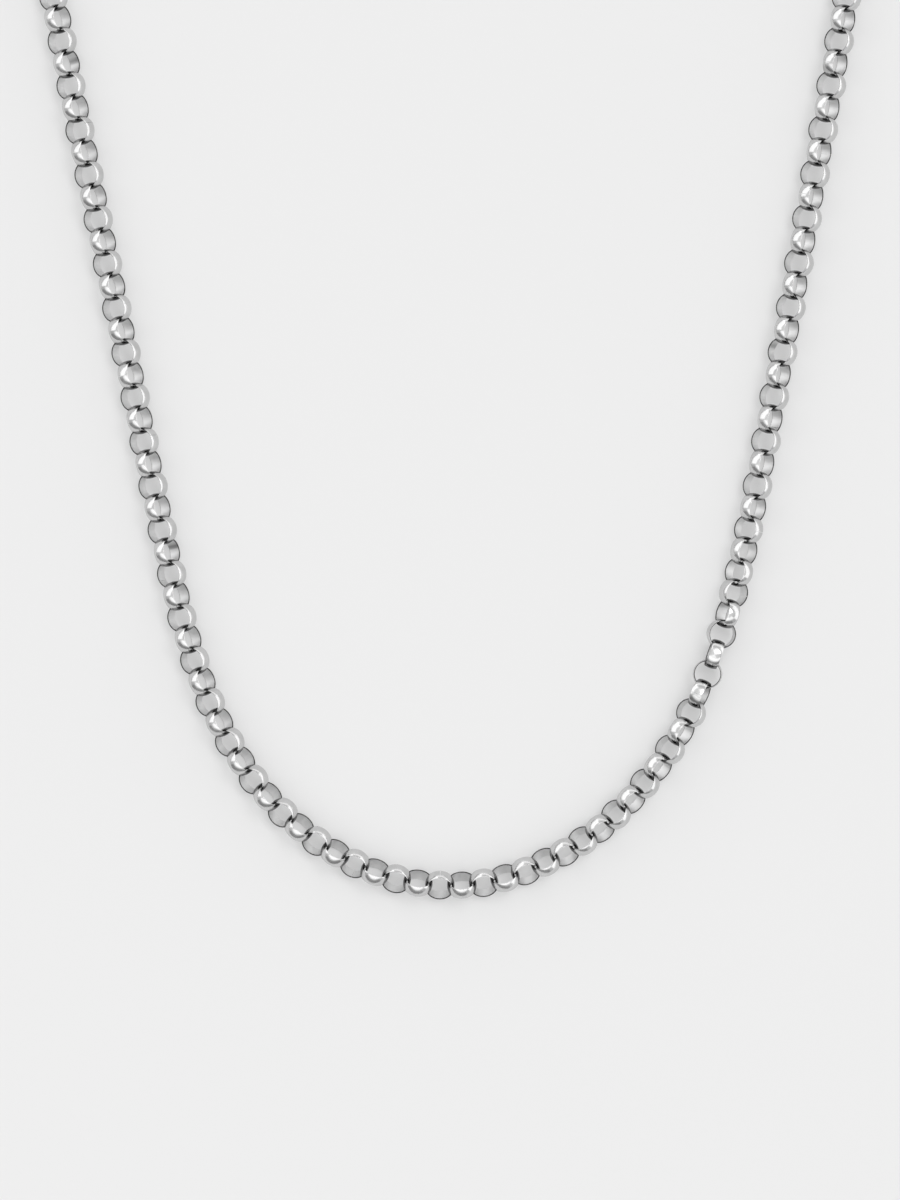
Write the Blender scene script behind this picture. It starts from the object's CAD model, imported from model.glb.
# Rolo chain necklace of polished steel, fastened and lying flat on a pale surface.
import math
import random

import bmesh
import bpy
import numpy as np
from mathutils import Matrix, Vector


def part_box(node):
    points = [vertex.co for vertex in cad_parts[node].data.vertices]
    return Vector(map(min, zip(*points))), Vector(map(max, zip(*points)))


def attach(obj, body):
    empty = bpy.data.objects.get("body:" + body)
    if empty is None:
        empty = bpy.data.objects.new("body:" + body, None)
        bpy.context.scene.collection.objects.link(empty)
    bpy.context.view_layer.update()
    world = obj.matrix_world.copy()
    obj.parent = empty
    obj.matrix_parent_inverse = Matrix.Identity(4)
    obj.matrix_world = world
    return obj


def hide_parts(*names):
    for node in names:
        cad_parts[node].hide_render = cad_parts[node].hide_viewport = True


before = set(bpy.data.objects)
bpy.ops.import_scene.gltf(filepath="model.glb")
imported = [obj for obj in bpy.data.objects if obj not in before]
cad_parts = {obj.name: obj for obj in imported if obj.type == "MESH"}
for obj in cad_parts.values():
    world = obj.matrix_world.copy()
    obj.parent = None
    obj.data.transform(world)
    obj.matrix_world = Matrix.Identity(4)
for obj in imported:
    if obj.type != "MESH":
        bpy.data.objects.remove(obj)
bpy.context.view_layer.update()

# The view
# The photograph looks straight down on the chain. At the chain's height its long side
# covers 164 mm, and its middle lies on the loop's axis, 56 mm below the middle of the loop.
mm = 0.001
photo_h_px = 1200
photo_px_per_mm = 7.3
photo_middle = Vector((0.05 * mm, -56.1 * mm, 0.0))
camera_height = 700 * mm
chain_middle_height = 2 * mm
sensor_side = 36.0
clip_near = 10 * mm
clip_far = 10000 * mm
seen_long_side = photo_h_px / photo_px_per_mm * mm

bpy.ops.object.camera_add(location=photo_middle + Vector((0, 0, camera_height)), rotation=(0, 0, 0))
camera = bpy.context.object
camera.name = "camera"
camera.data.sensor_width = sensor_side
camera.data.lens = sensor_side * (camera_height - chain_middle_height) / seen_long_side
camera.data.clip_start = clip_near
camera.data.clip_end = clip_far
bpy.context.scene.camera = camera
bpy.context.scene.view_settings.view_transform = "Standard"

# The surface and the studio
# A sheet of pale opal acrylic, lit a little from below, in a white light tent that grows
# brighter towards its roof. Lamps light panels of its walls and roof, and a dark curtain
# hangs low at the front. The polished steel shows all of them as streaks.
board_side = 2400 * mm
board_colour = "B5B5B5"
board_roughness = 0.6
board_glow = 0.255
# How bright the tent is at each height above the board, in degrees
zenith = 90
tent_heights = ((0, 0.62), (20, 0.7), (40, 0.85), (62, 1.02), (84, 1.1))
# Bearing and height of the middle of each panel, half its width and half its height, all in
# degrees, and the light that it adds. The curtain takes light away.
panels = {
    "back_left": (143, 24, 38, 17, 1.0),
    "right": (5, 13, 42, 18, 1.0),
    "back": (80, 6, 34, 12, 0.7),
    "front_high": (258, 42, 66, 11, 0.8),
    "front_curtain": (250, 3, 50, 20, -0.32),
    "roof_back": (68, 68, 40, 20, 0.5),
    "roof_front": (248, 68, 40, 20, 0.5),
    "key_lamp": (40, 66, 30, 18, 3.3),
}
# Width of the soft edge of a panel, in degrees
panel_edge = 7


def linear(hex_colour):
    """Turns an sRGB hex value into the linear colour that a shader takes."""
    channels = [int(hex_colour[i:i + 2], 16) / 255 for i in (0, 2, 4)]
    curve = [c / 12.92 if c <= 0.04045 else ((c + 0.055) / 1.055) ** 2.4 for c in channels]
    return (*curve, 1.0)


def add_node(tree, kind, links=(), **settings):
    """Adds a node. settings are its own properties or its input sockets' values, and links are
    pairs of an output socket and the name or number of this node's input."""
    node = tree.nodes.new(kind)
    for name, value in settings.items():
        if hasattr(node, name):
            setattr(node, name, value)
        else:
            node.inputs[name.replace("_", " ")].default_value = value
    for output, name in links:
        tree.links.new(output, node.inputs[name])
    return node


def new_material(name):
    """A node material with only its output."""
    material = bpy.data.materials.new(name)
    material.use_nodes = True
    material.node_tree.nodes.clear()
    return material


def deselect_all():
    """Leaves nothing selected, so that the next operator acts on its own object alone."""
    bpy.ops.object.select_all(action="DESELECT")


deselect_all()
bpy.ops.mesh.primitive_plane_add(size=board_side, location=(0, 0, 0))
board = bpy.context.object
board.name = "board"
# Opal acrylic scatters the light inside, so shadows on it are soft and pale and the board
# seen through a link is brighter than the shade there would leave it.
opal_acrylic = new_material("opal_acrylic")
tree = opal_acrylic.node_tree
matt = add_node(tree, "ShaderNodeBsdfDiffuse", Color=linear(board_colour),
                Roughness=board_roughness)
glow = add_node(tree, "ShaderNodeEmission", Strength=board_glow)
both = add_node(
    tree, "ShaderNodeAddShader", links=[(matt.outputs[0], 0), (glow.outputs[0], 1)])
add_node(tree, "ShaderNodeOutputMaterial", links=[(both.outputs[0], "Surface")])
board.data.materials.append(opal_acrylic)

world = bpy.data.worlds.new("light_tent")
bpy.context.scene.world = world
world.use_nodes = True
tree = world.node_tree
tree.nodes.clear()
direction = add_node(tree, "ShaderNodeTexCoord").outputs["Generated"]
up = add_node(tree, "ShaderNodeSeparateXYZ", links=[(direction, 0)]).outputs["Z"]
elevation = add_node(tree, "ShaderNodeMath", links=[(up, 0)], operation="ARCSINE").outputs[0]
share = add_node(
    tree, "ShaderNodeMapRange", links=[(elevation, "Value")], From_Max=math.pi / 2)
tent_light = add_node(tree, "ShaderNodeValToRGB", links=[(share.outputs[0], "Fac")])
# The ramp comes with two stops, and the other heights add theirs
ramp = tent_light.color_ramp
for place, (height, value) in enumerate(tent_heights):
    stop = ramp.elements[place] if place < 2 else ramp.elements.new(height / zenith)
    stop.position = height / zenith
    stop.color = (value, value, value, 1)
light_sum = tent_light.outputs["Color"]


def add_panel(azimuth, height, half_width, half_height, strength, light_sum):
    """Adds a soft-edged lit panel of the tent, placed by its bearing and its height above the
    board in degrees. A negative strength is a dark curtain."""
    turned = add_node(
        tree, "ShaderNodeMapping", links=[(direction, "Vector")],
        Rotation=(0, 0, -math.radians(azimuth)))
    parts = add_node(tree, "ShaderNodeSeparateXYZ", links=[(turned.outputs[0], 0)])
    bearing = add_node(
        tree, "ShaderNodeMath", links=[(parts.outputs["Y"], 0), (parts.outputs["X"], 1)],
        operation="ARCTAN2")
    rise = add_node(tree, "ShaderNodeMath", links=[(elevation, 0)], operation="SUBTRACT")
    rise.inputs[1].default_value = math.radians(height)
    covers = []
    for offset, half in ((bearing, half_width), (rise, half_height)):
        size = add_node(
            tree, "ShaderNodeMath", links=[(offset.outputs[0], 0)], operation="ABSOLUTE")
        covers.append(add_node(
            tree, "ShaderNodeMapRange", links=[(size.outputs[0], "Value")],
            interpolation_type="SMOOTHSTEP",
            From_Min=math.radians(half - panel_edge / 2),
            From_Max=math.radians(half + panel_edge / 2), To_Min=1.0, To_Max=0.0))
    both = add_node(
        tree, "ShaderNodeMath", operation="MULTIPLY",
        links=[(covers[0].outputs[0], 0), (covers[1].outputs[0], 1)])
    lit = add_node(tree, "ShaderNodeMath", links=[(both.outputs[0], 0), (light_sum, 2)],
                   operation="MULTIPLY_ADD")
    lit.inputs[1].default_value = strength
    return lit.outputs[0]


for panel in panels.values():
    light_sum = add_panel(*panel, light_sum)
tent = add_node(tree, "ShaderNodeBackground", links=[(light_sum, "Color")])
add_node(tree, "ShaderNodeOutputWorld", links=[(tent.outputs[0], "Surface")])

# The ring link
# A strip of half-round stainless steel band, flat inside and domed outside, bent round a
# mandrel until its ends butt, with its inner edges broken. 160 of them, each closed through
# the one before it, make the chain.
link_r = 2.026 * mm
band_t = 0.26 * mm
band_w = 1.65 * mm
inner_ease = 0.1 * mm
outer_ease = 0.015 * mm
outer_ease_steps = 2
crown_rise = 0.14 * mm
crown_cuts = 5
ring_steps = 40
joint_gap = 0.05 * mm
joint_angle = joint_gap / link_r
# Points nearer to each other than this are one
tiny = 0.001 * mm
link_smooth_angle = 40
# The polished outside has the mesh's first slot, 0
satin_slot, corner_slot = 1, 2
polished_colours = ("C2C2C2", "CECECE")
satin_colours = ("D4D4D4", "E0E0E0")
corner_colours = ("242424", "383838")
film_colour = "2C2C2C"
# Size of the haze that buffing leaves and of the fine grain, in millimetres. The real grain
# is finer than the render can show, so it is drawn as coarse as this.
haze_mm = 1.6
grain_mm = 0.25
haze_detail = 3.0
haze_mix = 0.6
grain_detail = 4.0
grain_mix = 0.65
# Values of the haze between which the roughness and the colour change
roughness_range = (0.3, 0.7)
colour_range = (0.25, 0.6)


def pick(obj, chosen):
    """Selects, in edit mode, the vertices whose place passes the test."""
    mesh = bmesh.from_edit_mesh(obj.data)
    for vertex in mesh.verts:
        vertex.select = chosen(vertex.co)
    mesh.select_flush_mode()
    bmesh.update_edit_mesh(obj.data)


def apply_transform():
    """Moves the object's place, turn and size into its mesh."""
    bpy.ops.object.transform_apply(location=True, rotation=True, scale=True)


deselect_all()
bpy.ops.mesh.primitive_plane_add(
    size=1, location=(link_r - band_t / 2, 0, 0), rotation=(math.pi / 2, 0, 0))
link = bpy.context.object
link.name = "ring_link"
link.scale = (band_t, band_w, 1)
apply_transform()
bpy.ops.object.mode_set(mode="EDIT")
bpy.ops.mesh.select_mode(type="VERT")
pick(link, lambda co: co.x > link_r - tiny)
bpy.ops.mesh.subdivide(number_cuts=crown_cuts)
crown_r = ((band_w / 2) ** 2 + crown_rise ** 2) / (2 * crown_rise)
heights = [-band_w / 2 + band_w * i / (crown_cuts + 1) for i in range(crown_cuts + 2)]
for height in heights:
    pick(link, lambda co: abs(co.z - height) < tiny and co.x > link_r - tiny)
    drop = crown_r - math.sqrt(crown_r ** 2 - height ** 2)
    bpy.ops.transform.translate(value=(-drop, 0, 0))
pick(link, lambda co: co.x < link_r - band_t + tiny)
bpy.ops.mesh.bevel(offset=inner_ease, segments=1, affect="VERTICES")
pick(link, lambda co: abs(co.z) > band_w / 2 - tiny and co.x > link_r - crown_rise - tiny)
bpy.ops.mesh.bevel(offset=outer_ease, segments=outer_ease_steps, affect="VERTICES")
bpy.ops.mesh.select_all(action="SELECT")
bpy.ops.mesh.spin(
    steps=ring_steps, angle=2 * math.pi - joint_angle, center=(0, 0, 0), axis=(0, 0, 1))
bpy.ops.mesh.select_all(action="SELECT")
bpy.ops.mesh.remove_doubles(threshold=tiny)
bpy.ops.mesh.normals_make_consistent(inside=False)
bpy.ops.object.mode_set(mode="OBJECT")

# The wheel polishes the domed outside and the edges, the tumbling barrel leaves the flat
# inside satin, and the broken inner corners stay dark and dull. Each has a slot of its own.
for face in link.data.polygons:
    corners = [link.data.vertices[i].co for i in face.vertices]
    middle_r = sum(math.hypot(corner.x, corner.y) for corner in corners) / len(corners)
    middle_height = abs(face.center.z)
    if middle_r < link_r - band_t + tiny:
        face.material_index = satin_slot
    elif middle_r < link_r - band_t + inner_ease and middle_height > band_w / 2 - inner_ease:
        face.material_index = corner_slot


def steel_finish(name, colours, roughnesses, relief, film_angles):
    """Stainless steel with one finish. A soft haze moves it between two colours and two
    roughnesses, fine grain gives its relief in millimetres, and towards the crossings, from
    the first to the second angle round the ring, a dark film of oxide and dirt covers it."""
    material = new_material(name)
    tree = material.node_tree
    place = add_node(tree, "ShaderNodeTexCoord").outputs["Object"]
    haze = add_node(
        tree, "ShaderNodeTexNoise", links=[(place, "Vector")], Scale=1 / (haze_mm * mm),
        Detail=haze_detail, Roughness=haze_mix)
    grain = add_node(
        tree, "ShaderNodeTexNoise", links=[(place, "Vector")], Scale=1 / (grain_mm * mm),
        Detail=grain_detail, Roughness=grain_mix)
    roughness = add_node(
        tree, "ShaderNodeMapRange", links=[(haze.outputs["Fac"], "Value")],
        From_Min=roughness_range[0], From_Max=roughness_range[1],
        To_Min=roughnesses[0], To_Max=roughnesses[1])
    colour = add_node(tree, "ShaderNodeValToRGB", links=[(haze.outputs["Fac"], "Fac")])
    for stop, position, value in zip(colour.color_ramp.elements, colour_range, colours):
        stop.position = position
        stop.color = linear(value)
    crossing = add_node(tree, "ShaderNodeAttribute", attribute_name="crossing")
    film = add_node(
        tree, "ShaderNodeMapRange", links=[(crossing.outputs["Fac"], "Value")],
        interpolation_type="SMOOTHSTEP", From_Min=math.cos(math.radians(film_angles[0])),
        From_Max=math.cos(math.radians(film_angles[1])))
    spot = add_node(tree, "ShaderNodeAttribute", attribute_name="spot")
    soil = add_node(
        tree, "ShaderNodeMath", links=[(film.outputs[0], 0), (spot.outputs["Fac"], 1)],
        operation="MAXIMUM")
    # A mix node's colours are its inputs 6 and 7 and its output 2
    filmed = add_node(
        tree, "ShaderNodeMix", links=[(soil.outputs[0], "Factor"), (colour.outputs[0], 6)],
        data_type="RGBA")
    filmed.inputs[7].default_value = linear(film_colour)
    bump = add_node(
        tree, "ShaderNodeBump", links=[(grain.outputs["Fac"], "Height")],
        Strength=1.0, Distance=relief * mm)
    steel = add_node(
        tree, "ShaderNodeBsdfPrincipled", Metallic=1.0,
        links=[(filmed.outputs[2], "Base Color"), (roughness.outputs[0], "Roughness"),
               (bump.outputs[0], "Normal")])
    add_node(tree, "ShaderNodeOutputMaterial", links=[(steel.outputs[0], "Surface")])
    return material


# Wheel-polished steel mirrors the tent: the dome has long bright streaks with soft ends.
polished_steel = steel_finish(
    "polished_stainless_steel", polished_colours, roughnesses=(0.1, 0.24), relief=0.0014,
    film_angles=(40, 18))
# Tumbled steel is satin: the low faces inside the ring look even, grey and hazy.
satin_steel = steel_finish(
    "satin_stainless_steel", satin_colours, roughnesses=(0.42, 0.55), relief=0.002,
    film_angles=(44, 26))
# Broken corners keep dark residue of the work: they draw the thin dark line round each hole.
corner_steel = steel_finish(
    "dull_corner_steel", corner_colours, roughnesses=(0.3, 0.42), relief=0.002,
    film_angles=(60, 30))
for finish in (polished_steel, satin_steel, corner_steel):
    link.data.materials.append(finish)


def ring_places(node_name):
    """Centre and axis of every ring of a CAD node. A ring is a loose part of the mesh, and its
    axis is the direction in which its surface spreads least."""
    mesh = bmesh.new()
    mesh.from_mesh(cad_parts[node_name].data)
    bmesh.ops.remove_doubles(mesh, verts=mesh.verts, dist=tiny)
    bmesh.ops.triangulate(mesh, faces=mesh.faces)
    unseen = set(mesh.faces)
    rings = []
    for first in mesh.faces:
        if first not in unseen:
            continue
        unseen.remove(first)
        grown = [first]
        for face in grown:
            for edge in face.edges:
                for other in edge.link_faces:
                    if other in unseen:
                        unseen.remove(other)
                        grown.append(other)
        corners = np.array([[v.co for v in face.verts] for face in grown])
        middles = corners.mean(1)
        areas = np.array([face.calc_area() for face in grown])[:, None]
        centre = (middles * areas).sum(0) / areas.sum()
        spread = ((middles - centre) * areas).T @ (middles - centre)
        axis = np.linalg.eigh(spread)[1][:, 0]
        rings.append((Vector(centre), Vector(axis)))
    mesh.free()
    return rings


def in_order(rings, start):
    """The rings as they follow each other along the chain, from the one nearest to start."""
    ordered = []
    left = list(rings)
    here = start
    while left:
        nearest = min(left, key=lambda ring: (ring[0] - here).length)
        left.remove(nearest)
        ordered.append(nearest)
        here = nearest[0]
    return ordered


clasp_low, clasp_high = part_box("clasp")
clasp_middle = (clasp_low + clasp_high) / 2
left_rings = in_order(ring_places("chain_left"), clasp_middle)
right_rings = in_order(ring_places("chain_right"), clasp_middle)[::-1]
rings = left_rings + right_rings

# Where each ring's joint shows, in degrees round the ring from the side of the next link:
# 90 is the top of the ring and 270 its bottom. The other joints hide in a crossing.
shown_joints = {
    38: 110, 46: 98, 49: 90, 50: 133, 52: 106, 78: 90, 94: 94, 102: 90, 117: 88, 123: 92,
    124: 90, 58: 290, 74: 282, 99: 270, 107: 236, 119: 270,
}
# The hidden joints lie this many degrees or less from the middle of a crossing
hidden_spread = 14
dice_seed = 7
dice = random.Random(dice_seed)

# Dark spots of the photograph: the place round the ring and half the width in degrees, and
# how dark. Three lie on low inner faces, and two are dull facets of a knocked dome.
dark_spots = {
    35: (260, 15, 0.5), 57: (251, 15, 0.6), 110: (292, 17, 0.45), 94: (122, 24, 0.3),
    123: (124, 22, 0.3),
}
no_spot = (0, 1, 0)


def joint_turn(number):
    """How far link number is turned in its own plane, which puts its joint at its place."""
    hidden = dice.choice((0, 180)) + dice.uniform(-hidden_spread, hidden_spread)
    return math.radians(shown_joints.get(number, hidden))


def mark_soil(mesh, number, turn):
    """Gives each vertex its closeness to the two crossings, 1 there and 0 at the ring's sides,
    and how dark it is by the link's own spot."""
    crossing = mesh.attributes.new("crossing", "FLOAT", "POINT")
    spot = mesh.attributes.new("spot", "FLOAT", "POINT")
    middle, half_width, darkness = dark_spots.get(number, no_spot)
    for vertex in mesh.vertices:
        place = math.atan2(vertex.co.y, vertex.co.x) + turn
        crossing.data[vertex.index].value = abs(math.cos(place))
        off = (math.degrees(place) - middle + 180) % 360 - 180
        spot.data[vertex.index].value = darkness * max(0, 1 - (off / half_width) ** 2)


def ring_matrix(number, turn):
    """Places link number on its CAD ring, turned in its plane."""
    centre, axis = rings[number]
    before = rings[max(number - 1, 0)][0]
    after = rings[min(number + 1, len(rings) - 1)][0]
    along = after - before
    side_x = (along - axis * along.dot(axis)).normalized()
    side_y = axis.cross(side_x)
    if side_y.z < 0:
        axis, side_y = -axis, -side_y
    lean = Matrix((side_x, side_y, axis)).transposed().to_4x4()
    return Matrix.Translation(centre) @ lean @ Matrix.Rotation(turn, 4, "Z")


def lay_chain(name, node_name, numbers):
    """Copies the ring link to each place and joins the copies into one piece."""
    copies = []
    for number in numbers:
        copy = link.copy()
        copy.data = link.data.copy()
        turn = joint_turn(number)
        mark_soil(copy.data, number, turn)
        copy.data.transform(ring_matrix(number, turn))
        bpy.context.scene.collection.objects.link(copy)
        copies.append(copy)
    deselect_all()
    for copy in copies:
        copy.select_set(True)
    bpy.context.view_layer.objects.active = copies[0]
    bpy.ops.object.join()
    piece = bpy.context.object
    piece.name = name
    bpy.ops.object.shade_smooth_by_angle(angle=math.radians(link_smooth_angle))
    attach(piece, "root")
    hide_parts(node_name)
    return piece


lay_chain("left_links", "chain_left", range(len(left_rings)))
lay_chain("right_links", "chain_right", range(len(left_rings), len(rings)))
bpy.data.objects.remove(link)

# The clasp
# A plain lobster clasp of the same steel, cast in one piece, tumbled and polished. Its eye and
# its claw hold the chain's end links. It closes the part of the loop that the photograph
# leaves out, so it is a guess and shows no wear.
cast_smooth_angle = 30
# The clasp has no crossings, and these angles keep the film off it
no_film = (0.2, 0.1)
# Cast and tumbled before it is polished: its lights are broader and softer than the links'.
cast_steel = steel_finish(
    "cast_stainless_steel", polished_colours, roughnesses=(0.14, 0.28), relief=0.003,
    film_angles=no_film)
clasp_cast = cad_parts["clasp"].copy()
clasp_cast.data = clasp_cast.data.copy()
clasp_cast.name = "clasp_cast"
bpy.context.scene.collection.objects.link(clasp_cast)
clasp_cast.data.materials.clear()
clasp_cast.data.materials.append(cast_steel)
deselect_all()
clasp_cast.select_set(True)
bpy.context.view_layer.objects.active = clasp_cast
bpy.ops.object.mode_set(mode="EDIT")
bpy.ops.mesh.select_all(action="SELECT")
bpy.ops.mesh.remove_doubles(threshold=tiny)
bpy.ops.mesh.normals_make_consistent(inside=False)
bpy.ops.object.mode_set(mode="OBJECT")
bpy.ops.object.shade_smooth_by_angle(angle=math.radians(cast_smooth_angle))
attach(clasp_cast, "root")
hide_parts("clasp")
